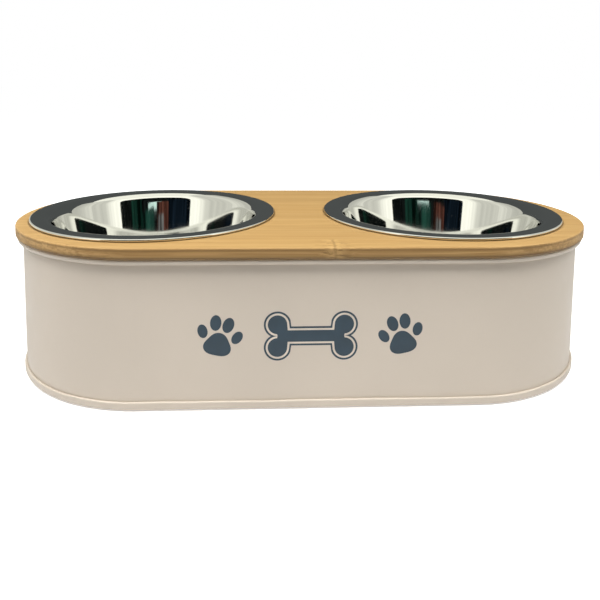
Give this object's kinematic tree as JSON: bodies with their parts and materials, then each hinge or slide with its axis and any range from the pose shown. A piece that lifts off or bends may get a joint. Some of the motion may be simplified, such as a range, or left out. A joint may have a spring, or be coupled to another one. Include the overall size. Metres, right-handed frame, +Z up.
{
  "type": "elevated dog feeder with storage",
  "caption": "Raised dog feeder: a round-ended steel storage tin with a lift-off bamboo lid that carries steel food and water bowls.",
  "frame": {"origin": "on the floor under the middle of the tin, level with the treads of the rubber feet", "axes": "+X along the length to the viewer's right, +Z up, and the front with the printed panel faces -Y"},
  "size_m": [0.44, 0.213, 0.1129],
  "materials": {
    "cream_paint": "satin powder coat",
    "wire": "drawn wire",
    "rubber": "matt",
    "bamboo": "oiled",
    "silicone": "translucent, matt",
    "bowl_steel": "mirror polish"
  },
  "bodies": {
    "tin": {"tin_wall": "cream_paint", "rim_wire": "wire", "tin_base": "cream_paint", "foot_front_left": "rubber", "foot_front_right": "rubber", "foot_back_left": "rubber", "foot_back_right": "rubber"},
    "lid": {"lid_board": "bamboo", "lid_seal": "silicone"},
    "left_bowl": {"bowl_left": "bowl_steel"},
    "right_bowl": {"bowl_right": "bowl_steel"}
  },
  "joints": [
    {"name": "lid_lift", "type": "slide", "parent": "tin", "child": "lid", "axis": [0, 0, 1], "range_m": [0, 0.1]},
    {"name": "bowl_left_lift", "type": "slide", "parent": "lid", "child": "left_bowl", "axis": [0, 0, 1], "range_m": [0, 0.08]},
    {"name": "bowl_right_lift", "type": "slide", "parent": "lid", "child": "right_bowl", "axis": [0, 0, 1], "range_m": [0, 0.08]}
  ]
}
